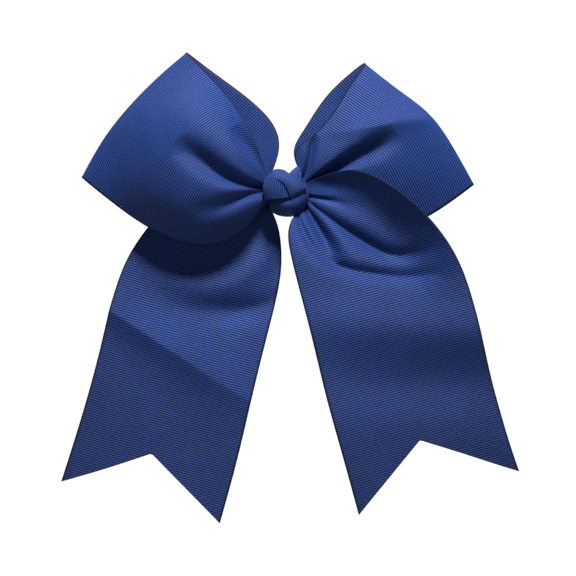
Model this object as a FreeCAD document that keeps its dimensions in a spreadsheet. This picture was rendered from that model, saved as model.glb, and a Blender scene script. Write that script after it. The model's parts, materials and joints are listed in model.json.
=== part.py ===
"""Cheer hair bow of wide grosgrain ribbon on an alligator clip. Millimetres, +Z up, the bow faces -Y.

The origin is where the clip's jaws close on the hair. From back to front along -Y lie the moving prong jaw,
the top jaw, its ribbon liner, a bead of hot-melt glue, the two legs of the knot ribbon, the thread that binds
the waist, the three gathered plies of the main ribbon, and the knot. The main ribbon is one strip folded like
an S: left tail (back ply), right loop, left loop (middle ply joins them), right tail (front ply).
"""
import FreeCAD, Part
import math
import os

import Sketcher

V = FreeCAD.Vector
doc = FreeCAD.newDocument("cheer_hair_bow")
sheet = doc.addObject("Spreadsheet::Sheet", "Sizes")

SIZES = [
    ("ribbon_width", 75.0, "main ribbon, three inch grosgrain"),
    ("ribbon_thick", 0.5, "main ribbon, over the ribs"),
    ("waist_half", 9.0, "half the length of the bound waist"),
    ("waist_high", 14.0, "height of the gathered waist"),
    ("ply_thick", 2.8, "one gathered ply at the waist"),
    ("ply_pitch", 3.0, "from one gathered ply to the next"),
    ("ply_round", 1.2, "rounded corners of the stack of gathered plies"),
    ("back_ply", -11.0, "middle of the back ply in Y"),
    ("left_loop_deep", 22.0, "how far the left loop's front layer stands before its waist"),
    ("right_loop_deep", 13.0, "the same on the right, where the tail lies over the loop"),
    ("tail_splay", 15.0, "degrees between a hanging tail and the vertical"),
    ("tail_low", -52.2, "height of the middle of a tail's bend line"),
    ("tail_out", 45.4, "distance of the middle of the bend line from the centre plane"),
    ("left_tail_long", 91.0, "from the bend line to the points of the left tail"),
    ("right_tail_long", 87.5, "from the bend line to the points of the right tail"),
    ("notch_deep", 23.3, "depth of the V cut in a tail"),
    ("left_tail_y", -10.5, "the left tail hangs in this plane"),
    ("right_tail_y", -32.0, "the right tail hangs in this plane, in front of the loops"),
    ("bend_gap", 0.7, "gap left at the bend line so that the tail can turn"),
    ("thread_thick", 0.6, "binding thread"),
    ("thread_turns", 6, "turns of binding thread"),
    ("thread_pitch", 0.9, "from turn to turn"),
    ("strap_wide", 12.0, "knot ribbon folded on itself where it goes round the waist"),
    ("strap_thick", 0.9, "folded knot ribbon, two layers"),
    ("knot_wide", 19.8, "the tied knot along X"),
    ("knot_high", 20.2, "the tied knot along Z"),
    ("knot_thick", 6.4, "the tied knot along Y"),
    ("knot_corner", 6.0, "rounded corners of the knot seen from the front"),
    ("knot_roll", 2.8, "rounded front of the knot"),
    ("knot_centre_x", -0.6, "middle of the knot from the centre plane"),
    ("knot_centre_z", -0.6, "middle of the knot from the height of the clip"),
    ("glue_long", 16.0, "glue bead along X"),
    ("glue_high", 8.0, "glue bead along Z"),
    ("glue_thick", 1.4, "glue bead along Y"),
    ("glue_shift", 1.5, "middle of the glue bead from the centre plane towards the hinge"),
    ("glue_corner", 3.0, "rounded corners of the glue bead"),
    ("liner_wide", 6.0, "ribbon liner of the top jaw"),
    ("liner_thick", 0.45, "ribbon liner"),
    ("liner_short", 1.5, "how far the liner stops before the tip of the top jaw"),
    ("jaw_thick", 0.8, "spring steel sheet of both jaws"),
    ("tip_reach", 20.0, "from the origin to the tips of the jaws"),
    ("tab_reach", 37.0, "from the origin to the ends of the finger tabs"),
    ("pivot_x", 21.0, "hinge pin from the origin along X"),
    ("pivot_y", -1.95, "hinge pin from the closing plane along Y"),
    ("closing_gap", 0.2, "from the closing plane to either jaw at the tips"),
    ("top_jaw_wide", 9.0, "top jaw over its ears"),
    ("top_tip_wide", 6.0, "top jaw at its tip"),
    ("tip_ramp", 12.0, "sloping stretch of the top jaw behind its tip, along X"),
    ("taper_end", 4.0, "the top jaw's taper ends this far before the pin"),
    ("top_flat_y", -4.3, "inner face of the top jaw's flat back"),
    ("top_hinge_y", -4.6, "inner face of the top jaw over the spring"),
    ("hinge_flat_half", 3.0, "half the flat stretch of the top jaw over the spring"),
    ("hinge_ramp", 4.0, "step from the flat back up to that stretch, along X"),
    ("top_tab_rise", 3.0, "how far the top tab leans away"),
    ("prong_jaw_wide", 7.0, "prong jaw over its ears"),
    ("prong_slot_wide", 2.2, "gap between the two prongs"),
    ("prong_slot_end", 8.0, "where the gap between the prongs ends"),
    ("prong_bend", 2.0, "the prong jaw bends up into its tab this far past the pin"),
    ("prong_tab_rise", 4.6, "how far the prong tab leans away"),
    ("ear_wide", 3.8, "ear around the pin, along X"),
    ("ear_corner", 1.85, "rounded corners of an ear, just under half its width"),
    ("pin_r", 0.8, "hinge pin"),
    ("pin_head_r", 1.35, "peened ends of the hinge pin"),
    ("pin_head_high", 0.4, "peened ends of the hinge pin"),
    ("shank_over", 0.2, "how far the pin's shank runs into its two ends, both together"),
    ("press_gap", 0.01, "radial gap of the pin in the top jaw"),
    ("running_gap", 0.08, "radial gap of the pin in the prong jaw"),
    ("spring_wire", 0.8, "torsion spring wire"),
    ("coil_r", 1.55, "torsion spring, to the middle of the wire"),
    ("coil_turns", 4, "torsion spring"),
    ("coil_pitch", 0.95, "torsion spring"),
    ("cut_over", 1.0, "how far a cut reaches past the metal"),
]
for row, (alias, value, note) in enumerate(SIZES, 1):
    sheet.set(f"A{row}", alias)
    sheet.set(f"B{row}", str(value))
    sheet.setAlias(f"B{row}", alias)
    sheet.set(f"C{row}", note)
doc.recompute()

made = []


def size(alias):
    """The value in a cell of the sheet."""
    return float(sheet.get(alias))


def expression(text):
    """The text with each alias of the sheet written the way an expression wants it."""
    for alias in sorted((a for a, _, _ in SIZES), key=len, reverse=True):
        text = text.replace("$" + alias, "Sizes." + alias)
    return text


def keep(obj, label):
    """Marks a finished sub-part, whose label names its node."""
    obj.Label = label
    made.append(obj)
    return obj


# ---------------------------------------------------------------- sketches and bodies


def plane(body, role):
    return next(f for f in body.Origin.OriginFeatures if f.Role == role)


def new_sketch(body, role, name):
    sketch = body.newObject("Sketcher::SketchObject", name)
    sketch.AttachmentSupport = [(plane(body, role), "")]
    sketch.MapMode = "FlatFace"
    return sketch


def place(sketch, geometry, point, x, y):
    """Ties a point of the sketch to two expressions."""
    for kind, text in (("DistanceX", x), ("DistanceY", y)):
        index = sketch.addConstraint(Sketcher.Constraint(kind, -1, 1, geometry, point, 1.0))
        sketch.setExpression(f"Constraints[{index}]", expression(text))


def polygon(body, role, name, corners):
    """A closed outline of straight lines whose corners are pairs of expressions."""
    sketch = new_sketch(body, role, name)
    count = len(corners)
    rough = [V(math.cos(2 * math.pi * i / count), math.sin(2 * math.pi * i / count), 0) for i in range(count)]
    for i in range(count):
        sketch.addGeometry(Part.LineSegment(rough[i], rough[(i + 1) % count]), False)
    for i in range(count):
        sketch.addConstraint(Sketcher.Constraint("Coincident", i, 2, (i + 1) % count, 1))
    for i, (x, y) in enumerate(corners):
        place(sketch, i, 1, x, y)
    doc.recompute()
    return sketch


def circle(body, role, name, x, y, radius):
    sketch = new_sketch(body, role, name)
    sketch.addGeometry(Part.Circle(V(1, 1, 0), V(0, 0, 1), 1.0), False)
    place(sketch, 0, 3, x, y)
    index = sketch.addConstraint(Sketcher.Constraint("Radius", 0, 1.0))
    sketch.setExpression(f"Constraints[{index}]", expression(radius))
    doc.recompute()
    return sketch


def pad(body, sketch, name, length, offset=None):
    """A pad that is symmetric about the sketch, or starts at an offset along its normal."""
    feature = body.newObject("PartDesign::Pad", name)
    feature.Profile = sketch
    feature.setExpression("Length", expression(length))
    if offset is None:
        feature.Midplane = True
    else:
        sketch.setExpression("AttachmentOffset.Base.z", expression(offset))
    doc.recompute()
    return feature


def pocket_through(body, sketch, name):
    feature = body.newObject("PartDesign::Pocket", name)
    feature.Profile = sketch
    feature.Type = "ThroughAll"
    feature.Midplane = True
    before = body.Shape.Volume
    doc.recompute()
    if body.Shape.Volume >= before - 1e-6:
        raise RuntimeError(f"{name} cut nothing")
    return feature


def round_edges(body, base, name, radius, chosen):
    """Fillets the edges of the body that the test picks."""
    names = [f"Edge{i}" for i, e in enumerate(base.Shape.Edges, 1) if chosen(e)]
    feature = body.newObject("PartDesign::Fillet", name)
    feature.Base = (base, names)
    feature.setExpression("Radius", expression(radius))
    doc.recompute()
    return feature


def along(edge, axis):
    """True for a straight edge parallel to an axis."""
    a, b = edge.Vertexes[0].Point, edge.Vertexes[-1].Point
    return (b - a).Length > 1e-6 and abs((b - a).normalize().dot(axis)) > 0.999


# ---------------------------------------------------------------- ribbons


def clamped(count, degree):
    """Knots and multiplicities of a clamped uniform B-spline."""
    spans = count - degree
    return [i / spans for i in range(spans + 1)], [degree + 1] + [1] * (spans - 1) + [degree + 1]


def skin(poles):
    """A B-spline face: the outer rows run along the ribbon, the columns across it."""
    rows, columns = len(poles), len(poles[0])
    u_degree, v_degree = min(rows - 1, 2), min(columns - 1, 3)
    u_knots, u_mults = clamped(rows, u_degree)
    v_knots, v_mults = clamped(columns, v_degree)
    surface = Part.BSplineSurface()
    surface.buildFromPolesMultsKnots(
        poles, u_mults, v_mults, u_knots, v_knots, False, False, u_degree, v_degree
    )
    return surface.toShape()


def solid_between(front, back):
    """The closed solid between two nets of poles."""
    last = [[row[-1] for row in net] for net in (front, back)]
    first = [[row[0] for row in net] for net in (front, back)]
    faces = [skin(front), skin(back), skin([front[0], back[0]]), skin([front[-1], back[-1]])]
    faces += [skin(first), skin(last)]
    shell = Part.makeShell(faces)
    shell.sewShape()
    solid = Part.Solid(shell)
    if solid.Volume < 0:
        solid.reverse()
    return solid


def ribbon_solid(stations):
    """A ribbon through stations, each the places of one edge, the middle and the other edge.

    Where the ribbon is gathered it is drawn thicker, so that a section keeps its area of cloth.
    Both ends are square to the run of the ribbon, which lies in a plane of equal Y there.
    """
    rows = [[V(*station[i]) for station in stations] for i in range(3)]
    cloth = size("ribbon_width") * size("ribbon_thick")
    front, back = [[], [], []], [[], [], []]
    last = len(stations) - 1
    for j in range(last + 1):
        wide = (rows[1][j] - rows[0][j]).Length + (rows[2][j] - rows[1][j]).Length
        half = min(size("ply_thick"), max(size("ribbon_thick"), cloth / wide)) / 2
        across = rows[2][j] - rows[0][j]
        for i in range(3):
            run = rows[1] if j in (0, last) else rows[i]
            lengthwise = run[min(j + 1, last)] - run[max(j - 1, 0)]
            if j in (0, last):
                lengthwise.y = 0
            normal = lengthwise.cross(across).normalize() * half
            front[i].append(rows[i][j] + normal)
            back[i].append(rows[i][j] - normal)
    return solid_between(front, back)


def ribbon(label, stations):
    feature = doc.addObject("Part::Feature", label)
    feature.Shape = ribbon_solid(stations)
    return feature


WAIST = size("waist_half")
HIGH = size("waist_high") / 2
BACK_PLY = size("back_ply")
MIDDLE_PLY = BACK_PLY - size("ply_pitch")
FRONT_PLY = MIDDLE_PLY - size("ply_pitch")
PLIES_BACK = BACK_PLY + size("ply_thick") / 2
PLIES_FRONT = FRONT_PLY - size("ply_thick") / 2


def waist(side, ply):
    """The gathered end of a ribbon where it leaves the waist, side -1 for left and 1 for right."""
    x = side * WAIST
    return [(x, ply, HIGH), (x, ply, 0), (x, ply, -HIGH)]


# A loop runs from the waist out along its back layer, round the fold and back along its front layer.
# Each station is (upper edge, middle, lower edge).
LEFT_FRONT = FRONT_PLY - size("left_loop_deep")
left_loop = [
    waist(-1, MIDDLE_PLY),
    [(-9.5, -14, 16), (-20, -14, 6), (-20, -14, -14)],
    [(-8, -14.5, 34), (-39, -13.5, 17), (-42, -14, -24)],
    [(-26, -16, 48), (-58, -13.5, 27), (-67, -16, -16)],
    [(-44.5, -18, 61), (-76, -15, 35.5), (-92, -19, 4.5)],
    [(-47.8, -22, 63.8), (-81, -24, 36), (-96.5, -23, 6.4)],
    [(-44.5, -26, 61), (-78, -33, 35), (-92, -27, 4.5)],
    [(-30, -31, 44), (-60, LEFT_FRONT - 3, 26), (-67, -34, -16)],
    [(-20, -30, 31), (-39, LEFT_FRONT, 16), (-42, -35, -25)],
    [(-12, -23, 17), (-21, -26, 6), (-21, -25, -15)],
    waist(-1, FRONT_PLY),
]
RIGHT_FRONT = MIDDLE_PLY - size("right_loop_deep")
right_loop = [
    waist(1, BACK_PLY),
    [(8.5, -11.5, 16), (20, -11.5, 6), (20, -11.5, -12)],
    [(3, -12.5, 28), (37, -12, 15), (40, -12.5, -16)],
    [(17, -14, 45), (54, -12.5, 24), (60, -14, -10)],
    [(31.5, -17, 56), (68, -14, 31.5), (81, -16.5, 2)],
    [(34.3, -20, 58.8), (73, -20.5, 33), (86, -19.5, 3.2)],
    [(31.5, -23, 56), (69, -27.5, 31.5), (81, -22.5, 2)],
    [(24, -26, 42), (54, RIGHT_FRONT - 3, 24), (60, -25, -10)],
    [(14, -25, 28), (37, RIGHT_FRONT, 14), (40, -22, -16)],
    [(9, -17, 16), (20, -18, 6), (20, -16.3, -12)],
    waist(1, MIDDLE_PLY),
]
keep(ribbon("left_loop", left_loop), "left_loop")
keep(ribbon("right_loop", right_loop), "right_loop")


def bend_line(side, drop):
    """Outer edge, middle and inner edge of a tail, drop mm below its bend line, as (x, z)."""
    splay, half = math.radians(size("tail_splay")), size("ribbon_width") / 2
    x = side * (size("tail_out") + drop * math.sin(splay))
    z = size("tail_low") - drop * math.cos(splay)
    out, up = side * half * math.cos(splay), half * math.sin(splay)
    return (x + out, z + up), (x, z), (x - out, z - up)


def hanging(side, drop, y):
    return [(x, y, z) for x, z in bend_line(side, drop)]


LEFT_TAIL_Y = size("left_tail_y")
RIGHT_TAIL_Y = size("right_tail_y")
HALF_GAP = size("bend_gap") / 2
# A tail is flat for this far above and below its bend line.
STRAIGHT = 4.0
left_root = [
    waist(-1, BACK_PLY),
    [(-23, -10.5, 7), (-17, -10.2, -7), (-8.5, -10.2, -13)],
    [(-46, -10.3, -2), (-28, -9.8, -16), (-2.0, -9.8, -27)],
    [(-70, -10.5, -22), (-40, -10.5, -32), (-3.8, -10.3, -44)],
    hanging(-1, -STRAIGHT, LEFT_TAIL_Y),
    hanging(-1, -HALF_GAP, LEFT_TAIL_Y),
]
right_root = [
    waist(1, FRONT_PLY),
    [(21, -22, 9.5), (17, -21.5, -6), (8.5, -19, -13)],
    [(45, -33.5, 4), (28, -31, -15), (-2.5, -26, -26)],
    [(70, -35, -20), (40, -33, -31), (2.5, -31, -42)],
    hanging(1, -STRAIGHT, RIGHT_TAIL_Y),
    hanging(1, -HALF_GAP, RIGHT_TAIL_Y),
]
keep(ribbon("left_tail_root", left_root), "left_tail_root")
keep(ribbon("right_tail_root", right_root), "right_tail_root")


def tail(label, side, length, y):
    """The hanging part of a tail: a blank and the V that is cut out of its end."""
    drops = [HALF_GAP, STRAIGHT] + [length * share for share in (0.25, 0.5, 0.75, 1.0)]
    blank = ribbon(label + "_blank", [hanging(side, drop, y) for drop in drops])
    outer, middle, inner = (V(x, y, z) for x, z in bend_line(side, length))
    apex = V(*hanging(side, length - size("notch_deep"), y)[1])
    beyond = 1.2  # the cutter reaches past the tail's corners
    corners = [
        apex,
        apex + (outer - apex) * beyond,
        apex + (middle - apex) * 2,
        apex + (inner - apex) * beyond,
    ]
    cutter_deep = V(0, 10, 0)
    face = Part.Face(Part.makePolygon([c - cutter_deep / 2 for c in corners + corners[:1]]))
    notch = doc.addObject("Part::Feature", label + "_notch")
    notch.Shape = face.extrude(cutter_deep)
    cut = doc.addObject("Part::Cut", label)
    cut.Base, cut.Tool = blank, notch
    return keep(cut, label)


tail("left_tail", -1, size("left_tail_long"), LEFT_TAIL_Y)
tail("right_tail", 1, size("right_tail_long"), RIGHT_TAIL_Y)

# ---------------------------------------------------------------- the bound waist


def racetrack(x, clear):
    """A rounded rectangle round the stacked plies in the YZ plane at x, clear of them by that much."""
    y_sides, z_side = {-1: PLIES_FRONT - clear, 1: PLIES_BACK + clear}, HIGH + clear
    radius = size("ply_round") + clear
    corners = []
    for sy, sz in ((1, 1), (-1, 1), (-1, -1), (1, -1)):
        centre = V(x, y_sides[sy] - sy * radius, sz * (z_side - radius))
        ends = [centre + V(0, sy * radius, 0), centre + V(0, 0, sz * radius)]
        if sy != sz:
            ends.reverse()
        corners.append((ends[0], centre + V(0, sy, sz).normalize() * radius, ends[1]))
    outline = []
    for i, (start, middle, end) in enumerate(corners):
        outline.append(Part.Arc(start, middle, end).toShape())
        outline.append(Part.LineSegment(end, corners[(i + 1) % 4][0]).toShape())
    return Part.Wire(outline)


def ply(label, steps_forward):
    """One gathered ply of the main ribbon inside the binding, with the stack's corners rounded off."""
    box = doc.addObject("Part::Box", label + "_block")
    box.setExpression("Length", expression("2 * $waist_half"))
    box.setExpression("Width", expression("$ply_thick"))
    box.setExpression("Height", expression("$waist_high"))
    box.setExpression("Placement.Base.x", expression("-$waist_half"))
    box.setExpression(
        "Placement.Base.y", expression(f"$back_ply - {steps_forward} * $ply_pitch - $ply_thick / 2")
    )
    box.setExpression("Placement.Base.z", expression("-$waist_high / 2"))
    core = doc.addObject("Part::Feature", label + "_core")
    core.Shape = Part.Face(racetrack(-WAIST, 0)).extrude(V(2 * WAIST, 0, 0))
    common = doc.addObject("Part::Common", label)
    common.Base, common.Tool = box, core
    return keep(common, label)


for forward, label in enumerate(("waist_back_ply", "waist_middle_ply", "waist_front_ply")):
    ply(label, forward)


THREAD_GAP = 0.02
LAYER_GAP = 0.05


def thread_turn(x):
    """One closed turn of the binding thread round the stacked plies at x."""
    radius = size("thread_thick") / 2
    edges = racetrack(x, radius + THREAD_GAP).Edges
    start = edges[1].Vertexes[0].Point
    section = Part.Wire(Part.Circle(start, edges[1].Curve.Direction, radius).toShape())
    return Part.Wire(edges[1:] + edges[:1]).makePipeShell([section], True, True)


turns = int(size("thread_turns"))
binding = doc.addObject("Part::Feature", "binding_thread")
binding.Shape = Part.makeCompound(
    [thread_turn((i - (turns - 1) / 2) * size("thread_pitch")) for i in range(turns)]
)
keep(binding, "binding_thread")

# ---------------------------------------------------------------- the knot and its legs

LEG_END = 5.0
MIDDLE_OF_PLIES = (PLIES_BACK + PLIES_FRONT) / 2
BLOCK = 40.0  # side of a block that holds half of a leg with room to spare


def leg(label, up, clear):
    """One leg of the knot ribbon, up 1 for over the waist and -1 for under it.

    It runs from behind the knot round the waist and ends LEG_END past the middle of the back.
    """
    half_wide = size("strap_wide") / 2
    inner, outer = racetrack(-half_wide, clear), racetrack(-half_wide, clear + size("strap_thick"))
    band = Part.Face(outer).cut(Part.Face(inner)).extrude(V(2 * half_wide, 0, 0))
    front_start = 0 if up > 0 else -BLOCK
    back_start = -LEG_END if up > 0 else LEG_END - BLOCK
    front_half = Part.makeBox(BLOCK, BLOCK, BLOCK, V(-BLOCK / 2, MIDDLE_OF_PLIES - BLOCK, front_start))
    back_half = Part.makeBox(BLOCK, BLOCK, BLOCK, V(-BLOCK / 2, MIDDLE_OF_PLIES, back_start))
    feature = doc.addObject("Part::Feature", label)
    feature.Shape = band.common(front_half.fuse(back_half)).removeSplitter()
    return keep(feature, label)


THREAD_OUT = size("thread_thick") + 2 * LAYER_GAP
LOWER_LEG_OUT = THREAD_OUT + size("strap_thick") + LAYER_GAP
STRAP_OUT = LOWER_LEG_OUT + size("strap_thick")
leg("knot_upper_leg", 1, THREAD_OUT)
leg("knot_lower_leg", -1, LOWER_LEG_OUT)

knot_body = doc.addObject("PartDesign::Body", "knot")
knot_outline = polygon(
    knot_body,
    "XZ_Plane",
    "knot_outline",
    [
        ("$knot_centre_x - $knot_wide / 2", "$knot_centre_z - $knot_high / 2"),
        ("$knot_centre_x + $knot_wide / 2", "$knot_centre_z - $knot_high / 2"),
        ("$knot_centre_x + $knot_wide / 2", "$knot_centre_z + $knot_high / 2"),
        ("$knot_centre_x - $knot_wide / 2", "$knot_centre_z + $knot_high / 2"),
    ],
)
KNOT_BACK = PLIES_FRONT - STRAP_OUT - LAYER_GAP
KNOT_FRONT = KNOT_BACK - size("knot_thick")
knot_pad = pad(knot_body, knot_outline, "knot_block", "$knot_thick", f"{-KNOT_BACK}")
knot_sides = round_edges(knot_body, knot_pad, "knot_sides", "$knot_corner", lambda e: along(e, V(0, 1, 0)))
round_edges(
    knot_body,
    knot_sides,
    "knot_front",
    "$knot_roll",
    lambda e: all(abs(v.Point.y - KNOT_FRONT) < 1e-4 for v in e.Vertexes),
)
keep(knot_body, "knot")

# ---------------------------------------------------------------- glue and liner

glue_box = doc.addObject("Part::Box", "glue_block")
glue_box.setExpression("Length", expression("$glue_long"))
glue_box.setExpression("Width", expression("$glue_thick"))
glue_box.setExpression("Height", expression("$glue_high"))
glue_box.setExpression("Placement.Base.x", expression("$glue_shift - $glue_long / 2"))
glue_box.setExpression(
    "Placement.Base.y", expression("$top_flat_y - $jaw_thick - $liner_thick - $glue_thick")
)
glue_box.setExpression("Placement.Base.z", expression("-$glue_high / 2"))
doc.recompute()
glue = doc.addObject("Part::Fillet", "glue_bead")
glue.Base = glue_box
corner = size("glue_corner")
glue.Edges = [
    (i, corner, corner) for i, e in enumerate(glue_box.Shape.Edges, 1) if along(e, V(0, 1, 0))
]
keep(glue, "glue_bead")

TOP_OUTER = [
    ("-$tip_reach", "-$closing_gap - $jaw_thick"),
    ("$tip_ramp - $tip_reach", "$top_flat_y - $jaw_thick"),
    ("$pivot_x - $hinge_flat_half - $hinge_ramp", "$top_flat_y - $jaw_thick"),
    ("$pivot_x - $hinge_flat_half", "$top_hinge_y - $jaw_thick"),
    ("$pivot_x + $hinge_flat_half", "$top_hinge_y - $jaw_thick"),
    ("$tab_reach", "$top_hinge_y - $top_tab_rise - $jaw_thick"),
]
liner_body = doc.addObject("PartDesign::Body", "clip_liner")
liner_start = (
    "$liner_short - $tip_reach",
    "-$closing_gap - $jaw_thick + $liner_short * ($top_flat_y + $closing_gap) / $tip_ramp",
)
liner_line = [liner_start] + TOP_OUTER[1:3]
liner_outline = polygon(
    liner_body,
    "XY_Plane",
    "liner_profile",
    liner_line + [(x, y + " - $liner_thick") for x, y in reversed(liner_line)],
)
pad(liner_body, liner_outline, "liner_strip", "$liner_wide")
keep(liner_body, "clip_liner")

# ---------------------------------------------------------------- the clip


def hinge_ears(body, name, wide, root_y, reach, hole):
    """Two ears at the sides of a jaw, with the pin's hole through both.

    They start at root_y in the jaw and reach past the pin, towards +Y where reach is 1.
    """
    half = "$ear_wide / 2"
    sign = "+" if reach > 0 else "-"
    corners = [
        (f"$pivot_x - {half}", root_y),
        (f"$pivot_x + {half}", root_y),
        (f"$pivot_x + {half}", f"$pivot_y {sign} {half}"),
        (f"$pivot_x - {half}", f"$pivot_y {sign} {half}"),
    ]
    free_y = size("pivot_y") + reach * size("ear_wide") / 2
    outer_z = size(wide) / 2
    inner_z = outer_z - size("jaw_thick")
    near = 1e-4
    for side, offset, low, high in (
        ("upper", f"${wide} / 2 - $jaw_thick", inner_z, outer_z),
        ("lower", f"-${wide} / 2", -outer_z, -inner_z),
    ):
        outline = polygon(body, "XY_Plane", f"{name}_{side}_ear", corners)
        ear = pad(body, outline, f"{name}_{side}_ear_pad", "$jaw_thick", offset)

        def free_corner(edge):
            point = edge.Vertexes[0].Point
            at_end = abs(point.y - free_y) < near and low - near < point.z < high + near
            return at_end and along(edge, V(0, 0, 1))

        round_edges(body, ear, f"{name}_{side}_ear_round", "$ear_corner", free_corner)
    hole_circle = circle(body, "XY_Plane", f"{name}_pin_hole", "$pivot_x", "$pivot_y", hole)
    pocket_through(body, hole_circle, f"{name}_hole")


top_body = doc.addObject("PartDesign::Body", "clip_top_jaw")
top_outline = polygon(
    top_body,
    "XY_Plane",
    "top_profile",
    TOP_OUTER + [(x, y + " + $jaw_thick") for x, y in reversed(TOP_OUTER)],
)
pad(top_body, top_outline, "top_strip", "$top_jaw_wide")
for sign in ("", "-"):
    side = "left" if sign else "right"
    taper = polygon(
        top_body,
        "XZ_Plane",
        f"top_taper_{side}",
        [
            ("-$tip_reach - $cut_over", f"{sign}$top_tip_wide / 2"),
            ("-$tip_reach - $cut_over", f"{sign}($top_jaw_wide / 2 + $cut_over)"),
            ("$pivot_x - $taper_end", f"{sign}($top_jaw_wide / 2 + $cut_over)"),
            ("$pivot_x - $taper_end", f"{sign}$top_jaw_wide / 2"),
        ],
    )
    pocket_through(top_body, taper, f"top_taper_cut_{side}")
hinge_ears(top_body, "top", "top_jaw_wide", "$top_hinge_y - $jaw_thick / 2", 1, "$pin_r + $press_gap")
keep(top_body, "clip_top_jaw")

prong_body = doc.addObject("PartDesign::Body", "clip_prong_jaw")
PRONG_INNER = [
    ("-$tip_reach", "$closing_gap"),
    ("$pivot_x + $prong_bend", "$closing_gap"),
    ("$tab_reach", "$closing_gap + $prong_tab_rise"),
]
prong_outline = polygon(
    prong_body,
    "XY_Plane",
    "prong_profile",
    PRONG_INNER + [(x, y + " + $jaw_thick") for x, y in reversed(PRONG_INNER)],
)
pad(prong_body, prong_outline, "prong_strip", "$prong_jaw_wide")
slot = polygon(
    prong_body,
    "XZ_Plane",
    "prong_slot",
    [
        ("-$tip_reach - $cut_over", "-$prong_slot_wide / 2"),
        ("$prong_slot_end", "-$prong_slot_wide / 2"),
        ("$prong_slot_end", "$prong_slot_wide / 2"),
        ("-$tip_reach - $cut_over", "$prong_slot_wide / 2"),
    ],
)
pocket_through(prong_body, slot, "prong_slot_cut")
hinge_ears(
    prong_body, "prong", "prong_jaw_wide", "$closing_gap + $jaw_thick / 2", -1, "$pin_r + $running_gap"
)
keep(prong_body, "clip_prong_jaw")

pin_body = doc.addObject("PartDesign::Body", "hinge_pin")
shank = circle(pin_body, "XY_Plane", "shank_circle", "$pivot_x", "$pivot_y", "$pin_r")
pad(pin_body, shank, "shank", "$top_jaw_wide + $shank_over")
for side, offset in (("upper", "$top_jaw_wide / 2"), ("lower", "-$top_jaw_wide / 2 - $pin_head_high")):
    head = circle(pin_body, "XY_Plane", f"{side}_head_circle", "$pivot_x", "$pivot_y", "$pin_head_r")
    pad(pin_body, head, f"{side}_head", "$pin_head_high", offset)
keep(pin_body, "hinge_pin")


# Each leg leaves the coil on the side of its finger tab, -1 for -Y, bends and lies just inside the tab.
# The bend and the end are (x, y) from the pin.
TOP_LEG = (-1, (4.2, -1.72), (12.0, -3.85))
PRONG_LEG = (1, (3.4, 1.62), (12.0, 4.62))


def torsion_spring():
    """Coil round the pin with a straight leg from each end that presses on a finger tab."""
    radius = size("coil_r")
    wire = size("spring_wire") / 2
    pitch = size("coil_pitch")
    height = (size("coil_turns") + 0.5) * pitch
    centre = V(size("pivot_x"), size("pivot_y"), 0)
    start = V(radius, 0, 0)
    section = Part.Wire(Part.Circle(start, V(0, 1, pitch / (2 * math.pi * radius)), wire).toShape())
    coil = Part.Wire(Part.makeHelix(pitch, height, radius)).makePipeShell([section], True, True)
    # The helix starts on +X and ends on -X. A quarter turn puts its lower end on the +Y side and its
    # upper end on the -Y side, where the wire runs along +X and goes straight on into the legs.
    coil.rotate(V(0, 0, 0), V(0, 0, 1), 90)
    coil.translate(centre - V(0, 0, height / 2))
    legs = []
    for facing, bend, tip in (TOP_LEG, PRONG_LEG):
        level = centre - V(0, 0, facing * height / 2)
        points = [level + V(0, facing * radius, 0), level + V(*bend, 0), level + V(*tip, 0)]
        for a, b in zip(points, points[1:]):
            legs.append(Part.makeCylinder(wire, (b - a).Length, a, b - a))
            legs.append(Part.makeSphere(wire, a))
    return coil.multiFuse(legs).removeSplitter()


spring = doc.addObject("Part::Feature", "torsion_spring")
spring.Shape = torsion_spring()
keep(spring, "torsion_spring")

# ---------------------------------------------------------------- check and write

doc.recompute()
for obj in doc.Objects:
    if {"Invalid", "Error"} & set(obj.State):
        raise RuntimeError(f"{obj.Label} failed: {obj.State}")
os.makedirs("parts", exist_ok=True)
for obj in made:
    shape = obj.Shape
    if shape.isNull() or not shape.isValid() or not shape.Solids:
        raise RuntimeError(f"{obj.Label} has no valid solid")
    if any(s.Volume <= 0 for s in shape.Solids):
        raise RuntimeError(f"{obj.Label} is inside out")
    shape.exportStep(f"parts/{obj.Label}.step")
    print(f"{obj.Label}: {len(shape.Solids)} solids, {shape.Volume:.1f} mm3")
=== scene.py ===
"""Cheer hair bow in navy grosgrain, standing as it is worn, with its front towards -Y.
"""

import json
import math

import bmesh
import bpy
import mathutils
import numpy as np
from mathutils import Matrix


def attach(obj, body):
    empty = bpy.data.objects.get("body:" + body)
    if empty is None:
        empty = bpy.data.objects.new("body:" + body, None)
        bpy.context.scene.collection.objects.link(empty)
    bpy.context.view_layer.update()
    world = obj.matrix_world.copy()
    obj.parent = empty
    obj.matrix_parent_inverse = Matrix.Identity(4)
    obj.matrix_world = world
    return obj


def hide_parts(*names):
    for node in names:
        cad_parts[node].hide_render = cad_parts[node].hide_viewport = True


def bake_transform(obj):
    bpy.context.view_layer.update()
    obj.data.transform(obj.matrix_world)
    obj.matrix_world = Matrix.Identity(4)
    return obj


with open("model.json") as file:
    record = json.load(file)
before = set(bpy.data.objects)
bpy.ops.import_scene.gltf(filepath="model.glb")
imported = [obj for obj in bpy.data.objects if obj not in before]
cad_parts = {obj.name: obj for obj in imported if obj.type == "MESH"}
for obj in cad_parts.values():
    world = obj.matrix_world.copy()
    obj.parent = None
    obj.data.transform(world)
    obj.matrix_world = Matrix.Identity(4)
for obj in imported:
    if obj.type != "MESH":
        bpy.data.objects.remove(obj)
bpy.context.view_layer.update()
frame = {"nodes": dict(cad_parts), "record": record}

MM = 0.001

# the main ribbon
WIDTH = 75.0
RIB = 1.05
RIB_HIGH = 0.08
HALF_THICK = 0.17
COLUMNS = 60
STEP = RIB / 4

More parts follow.
